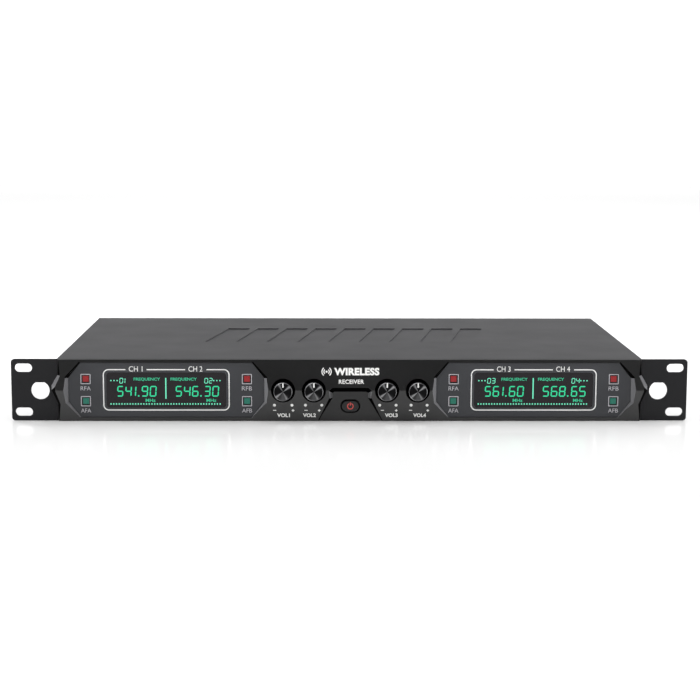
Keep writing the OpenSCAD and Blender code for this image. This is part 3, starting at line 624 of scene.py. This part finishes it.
def turned(name, colour, roughness, anisotropy, painted_sheen=None, painted_fans=(), metallic=1.0):
    """Turned metal: the cut runs around the knob's axis, so its highlights fan out from it.
    With painted_sheen, fans of painted highlight are also mixed into the colour.
    """
    made, tree = new_material(name)
    place = add(tree, "TexCoord").outputs["Object"]
    along = add(tree, "Tangent", {"direction_type": "RADIAL", "axis": "Y"})
    cut = add(tree, "TexNoise", {"Scale": 4000.0, "Detail": 2.0}, Vector=place)
    wear = add(tree, "MapRange", {"To Min": roughness - 0.04, "To Max": roughness + 0.04},
               Value=cut.outputs["Fac"])
    surface = add(tree, "BsdfPrincipled", {
        "Base Color": linear(colour), "Metallic": metallic, "Anisotropic": anisotropy,
        "Anisotropic Rotation": 0.25},
        Roughness=wear.outputs[0], Tangent=along.outputs[0])
    if painted_sheen:
        tree.links.new(mixed(tree, painted_fan_share(tree, painted_fans), colour, painted_sheen),
                       surface.inputs["Base Color"])
    add(tree, "OutputMaterial", Surface=surface.outputs[0])
    return made


knob_side = turned("anodised_aluminium_side", "#1b1b1c", 0.4, 0.0)
# Each fan of painted highlight has its angle from the right, its sharpness, its strength and
# its kind: TWIN repeats it on the opposite side of the axis, and ALONE does not.
TWIN, ALONE = "ABSOLUTE", "MAXIMUM"
knob_face = turned("anodised_aluminium_spun_painted_streaks", "#19191a", 0.34, 0.6, painted_sheen="#a6a6a8",
                   painted_fans=((38, 90, 1.0, TWIN), (119, 80, 0.6, TWIN), (270, 5, 0.25, ALONE)))
# Painted highlight: the bevel's glints are mixed into its colour in three fans.
knob_rim = turned("diamond_cut_aluminium_painted_glints", "#48484a", 0.42, 0.0, painted_sheen="#a2a2a4", metallic=0.7,
                  painted_fans=((132, 6, 1.0, ALONE), (8, 8, 1.0, ALONE), (228, 6, 1.0, ALONE)))
knob_p, face_from_p = 11.0, 10.2
rim_from_p, rim_from_r = 10.5, 6.15
pointer_w, pointer_h, pointer_r, pointer_depth, pointer_up = 0.95, 3.3, 0.3, 0.42, 4.75
FACE, RIM = 1, 2
TURN_STEPS, SHARP_EDGE = 72, 25
# radius and distance from the panel, from the hollow in the back around to the face
knob_profile = [
    (3.03, 1.2), (3.03, 4.0), (5.5, 4.0), (5.5, 1.45), (5.75, 1.2), (6.35, 1.2), (6.65, 1.5),
    (6.65, 3.4), (6.45, 3.6), (6.45, 4.0), (6.65, 4.2), (6.65, 10.3), (6.62, 10.5),
    (6.3, 10.92), (6.2, 11.0), (5.95, 11.0), (5.85, 10.95), (5.6, 10.7), (3.0, 10.66),
    (0.6, 10.62), (0.0, 10.62)]
for number, x in enumerate(knob_x, 1):
    lathe = bmesh.new()
    chain = [lathe.verts.new((r, -p, 0)) for r, p in knob_profile]
    edges = [lathe.edges.new(pair) for pair in zip(chain, chain[1:])]
    bmesh.ops.spin(lathe, geom=chain + edges, cent=(0, 0, 0), axis=(0, 1, 0), angle=2 * math.pi,
                   steps=TURN_STEPS, use_merge=True)
    bmesh.ops.remove_doubles(lathe, verts=lathe.verts[:], dist=1e-4)
    rim = [e for e in lathe.edges if e.is_boundary]
    bmesh.ops.contextual_create(lathe, geom=rim)
    bmesh.ops.recalc_face_normals(lathe, faces=lathe.faces[:])
    for face in lathe.faces:
        middle = face.calc_center_median()
        face.smooth = True
        if -middle.y > face_from_p:
            on_rim = math.hypot(middle.x, middle.z) > rim_from_r and -middle.y > rim_from_p
            face.material_index = RIM if on_rim else FACE
    bmesh.ops.transform(lathe, matrix=Matrix.Scale(MM, 4), verts=lathe.verts[:])
    bmesh.ops.translate(lathe, vec=(x * MM, panel_front, knob_z * MM), verts=lathe.verts[:])
    knob = finish_piece("knob_%d_turned" % number, lathe, knob_side, "knob_%d" % number)
    knob.data.materials.append(knob_face)
    knob.data.materials.append(knob_rim)
    knob.data.set_sharp_from_angle(angle=math.radians(SHARP_EDGE))
    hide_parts("volume_knob_%d" % number)
    line = sheet_of(pointer_w, pointer_h, pointer_r, 3)
    thicken(line, pointer_depth)
    onto(line, x, knob_z + pointer_up, lambda z: knob_p + 0.02)
    pointer = finish_piece("knob_%d_pointer" % number, line, white_ink, "knob_%d" % number)
    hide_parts("knob_pointer_%d" % number)
    dress("pot_shaft_%d" % number, textured("ground_steel_shaft_%d" % number, "#9a9a9c", "#adadaf",
                                            0.3, 0.4, 0.004, metallic=1.0, stretch=(1, 6, 1)))

# Painted shadow: thin black strips laid along the slants of the button's recess, and a black
# ring laid around the button, stand in for the shade there.
recess_slant = [(14.4, 16.9), (22.2, 0.6), (22.9, 0.6), (15.2, 16.9)]
around_w, around_h, around_r, around_line = 14.2, 9.8, 4.85, 0.4
gap = slants(recess_slant)
thicken(gap, INK)
onto(gap, 0, 0, roof_ink)
lay(gap, ring_of(around_w, around_h, around_r, around_line), 0, button_z, flat_plate)
finish_piece("button_gap", gap, painted_shade_abs, "chassis")


def disc(radius, segments):
    """A flat disc in X and Z, centred on the origin."""
    sheet = bmesh.new()
    bmesh.ops.create_circle(sheet, cap_ends=True, segments=segments, radius=radius)
    bmesh.ops.rotate(sheet, verts=sheet.verts[:], cent=(0, 0, 0),
                     matrix=Matrix.Rotation(math.pi / 2, 3, "X"))
    return sheet


# Printing around the knobs: end dots, minus and plus signs, and each knob's name.
labels = bmesh.new()
spot_r, spot_z = 1.05, 11.9
minus_w, minus_h, minus_z = 2.3, 0.55, 8.05
arm, half, plus_z = 0.95, 0.3, 7.95
plus_outline = [
    (half, arm), (-half, arm), (-half, half), (-arm, half), (-arm, -half), (-half, -half),
    (-half, -arm), (half, -arm), (half, -half), (arm, -half), (arm, half), (half, half)]
vol_half, vol_low, vol_high = 4.6, 2.9, 5.75
# from each knob's axis: the two end dots, the minus, the plus and the name's middle
label_shifts = [(-6.2, 6.3, -6.1, 7.0, 0.2), (-6.0, 5.6, -5.6, 3.8, -3.2),
                (-5.1, 6.6, -3.1, 6.8, 3.3), (-4.6, 6.8, -4.9, 7.4, 1.6)]
for number, (x, shifts) in enumerate(zip(knob_x, label_shifts), 1):
    low_dot, high_dot, minus_x, plus_x, vol_x = (x + shift for shift in shifts)
    lay(labels, disc(spot_r, 20), low_dot, spot_z, roof_ink)
    lay(labels, disc(spot_r, 20), high_dot, spot_z, roof_ink)
    lay(labels, sheet_of(minus_w, minus_h, 0), minus_x, minus_z, roof_ink)
    plus = bmesh.new()
    plus.faces.new([plus.verts.new((a, 0, b)) for a, b in plus_outline])
    lay(labels, plus, plus_x, plus_z, roof_ink)
    printed(labels, "VOL%d" % number, vol_x - vol_half, vol_x + vol_half, vol_low, vol_high,
            surface=roof_ink, bold=0.04)
printed(labels, "WIRELESS", -11.6, 20.6, 33.4, 38.7, surface=roof_ink, bold=0.05, spacing=1.06)
printed(labels, "RECEIVER", -8.3, 9.6, 27.5, 30.5, surface=roof_ink, bold=0.02, spacing=1.05)


def bow(radius, reach, turn, half_line=0.35, steps=10):
    """An arc of a line, reach degrees to either side of the direction turn."""
    sheet = bmesh.new()
    angles = [math.radians(turn - reach + reach * 2 * k / steps) for k in range(steps + 1)]
    outer, inner = [
        [sheet.verts.new((math.cos(a) * r, 0, math.sin(a) * r)) for a in angles]
        for r in (radius + half_line, radius - half_line)]
    for k in range(steps):
        sheet.faces.new((outer[k], outer[k + 1], inner[k + 1], inner[k]))
    return sheet


# A plain sign for radio in front of the words: a dot between two pairs of arcs.
sign_x, sign_z = -17.0, 36.0
lay(labels, disc(0.75, 16), sign_x, sign_z, roof_ink)
for radius, reach in ((1.9, 48), (3.3, 52)):
    for turn in (0, 180):
        lay(labels, bow(radius, reach, turn), sign_x, sign_z, roof_ink)
finish_piece("bezel_print", labels, white_ink, "chassis")

# --- Power button -----------------------------------------------------------------------
# A moulded ABS cap with a broken edge, pushed on the switch's stem. The symbol is a red
# clear moulding let into its face, lit from behind.
button_w, button_h, button_p, button_depth, button_edge = 12.2, 7.8, 2.6, 5.2, 0.45
flange_reach, flange_p, flange_depth = 1.5, -2.6, 1.2
stem_w, stem_r, stem_p, stem_depth = 4, 0.4, -3.7, 2.3
END_STEPS = 14
button_abs = textured("moulded_abs_button", "#1d1d1e", "#252526", 0.38, 0.25, 0.006)
cap = sheet_of(button_w, button_h, button_h / 2 - 0.01, END_STEPS)
bmesh.ops.remove_doubles(cap, verts=cap.verts[:], dist=0.03)
thicken(cap, button_depth)
edge = [e for e in cap.edges if all(v.co.y < 0.001 for v in e.verts)]
bmesh.ops.bevel(cap, geom=edge, offset=button_edge, segments=3, profile=0.5, affect="EDGES",
                material=-1)
onto(cap, 0, button_z, lambda z: button_p)
flange = sheet_of(button_w + 2 * flange_reach, button_h + 2 * flange_reach,
                  button_h / 2 + flange_reach - 0.05, END_STEPS)
thicken(flange, flange_depth)
onto(flange, 0, button_z, lambda z: flange_p)
join(cap, flange)
stem = sheet_of(stem_w, stem_w, stem_r, 2)
thicken(stem, stem_depth)
onto(stem, 0, button_z, lambda z: stem_p)
join(cap, stem)
power_cap = finish_piece("power_button_cap", cap, button_abs, "button")
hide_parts("power_button")
symbol_red = lit("red_clear_moulding", "#c84440", "#d6524c", 0.8)
dress("power_icon_lens", symbol_red)

# --- Rear sockets -----------------------------------------------------------------------
# Nickel-plated die-cast shells and turned jacks, gold-plated contacts, white PTFE in the
# antenna sockets, and black moulded inserts. Their screws are black zinc-plated steel.
nickel = textured("nickel_plated_casting", "#b4b1aa", "#c4c1ba", 0.28, 0.6, 0.006, metallic=1.0)
steel = textured("zinc_plated_steel", "#a9aaad", "#bcbdc0", 0.33, 0.5, 0.005, metallic=1.0)
gold = textured("gold_plated_contacts", "#cfa04a", "#dcb25c", 0.22, 0.5, 0.002, metallic=1.0)
ptfe = textured("turned_ptfe", "#dcdcd6", "#e8e8e2", 0.45, 0.4, 0.004)
moulded_black = textured("moulded_nylon_black", "#151516", "#1d1d1e", 0.5, 0.4, 0.01)
black_zinc = textured("black_zinc_plated_screws", "#1f1f21", "#2a2a2c", 0.35, 0.4, 0.004,
                      metallic=0.7)
for node, material in (
        ("xlr_shells", nickel), ("xlr_inserts", moulded_black), ("xlr_pins", gold),
        ("bnc_jacks", nickel), ("bnc_insulators", ptfe), ("bnc_contacts", gold),
        ("bnc_nuts", nickel), ("bnc_washers", nickel), ("mix_jack", moulded_black),
        ("mix_jack_nut", steel), ("dc_inlet", moulded_black), ("dc_inlet_pin", steel),
        ("case_screws", black_zinc), ("connector_screws", black_zinc), ("pot_nuts", steel),
        ("pot_washers", steel), ("power_switch", moulded_black),
        ("switch_plunger", moulded_black)):
    dress(node, material)

# The rear plate's words are screen printed too. They face backwards, so they are drawn
# from behind: left to right on the plate runs from +X to -X.
rear_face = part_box("rear_panel")[1][1]
rear_words = bmesh.new()
letter_half = 1.1
# each label has its words, where their middle stands in x and z, and half their width
for words, x, z, half in (
        ("ANT A1", -187, 33.4, 6.2), ("ANT B1", -75, 33.4, 6.2), ("ANT A2", 75, 33.4, 6.2),
        ("ANT B2", 187, 33.4, 6.2), ("OUT 4", -150, 39.2, 5), ("OUT 3", -112, 39.2, 5),
        ("OUT 2", 112, 39.2, 5), ("OUT 1", 150, 39.2, 5), ("MIX OUT", -22, 32.2, 7.5),
        ("DC 12V", 24, 32.2, 6.2)):
    drawn = lettering(words, -half, half, -letter_half, letter_half)
    for vert in drawn.verts:
        vert.co = Vector(((x - vert.co.x) * MM, rear_face + (INK - vert.co.y) * MM,
                          (z + vert.co.z) * MM))
    join(rear_words, drawn)
bmesh.ops.recalc_face_normals(rear_words, faces=rear_words.faces[:])
finish_piece("rear_print", rear_words, white_ink, "chassis")

# --- Inside -----------------------------------------------------------------------------
# Boards of glass epoxy under green solder mask, tinned screening cans, an extruded
# heatsink, sleeved capacitors, brass standoffs, thin coaxial leads and flat ribbons.
solder_mask = textured("glass_epoxy_solder_mask", "#15563a", "#1c6444", 0.35, 0.8, 0.01)
tinned = textured("tinned_steel", "#b4b6b9", "#c6c8ca", 0.3, 0.8, 0.006, metallic=1.0,
                  stretch=(1, 8, 1))
extruded = textured("extruded_aluminium", "#8f9092", "#a2a3a5", 0.38, 0.5, 0.01, metallic=1.0,
                    stretch=(1, 1, 8))
sleeve = textured("shrink_sleeve_blue", "#1c2440", "#232c4c", 0.3, 0.6, 0.004)
brass = textured("turned_brass", "#b8934c", "#c6a25a", 0.3, 0.4, 0.004, metallic=1.0)
cable = textured("extruded_pvc_black", "#161617", "#1f1f20", 0.5, 0.5, 0.01)
ribbon = textured("flat_cable_grey", "#8d8d8a", "#9c9c98", 0.5, 0.6, 0.02, stretch=(6, 1, 1))
for node, material in (
        ("display_board_left", solder_mask), ("display_board_right", solder_mask),
        ("control_board", solder_mask), ("receiver_board_left", solder_mask),
        ("receiver_board_right", solder_mask), ("audio_board", solder_mask),
        ("tuner_cans", tinned), ("regulator_heatsink", extruded), ("filter_capacitors", sleeve),
        ("board_standoffs", brass), ("board_screws", steel), ("potentiometers", steel),
        ("antenna_leads", cable), ("display_ribbons", ribbon)):
    dress(node, material)
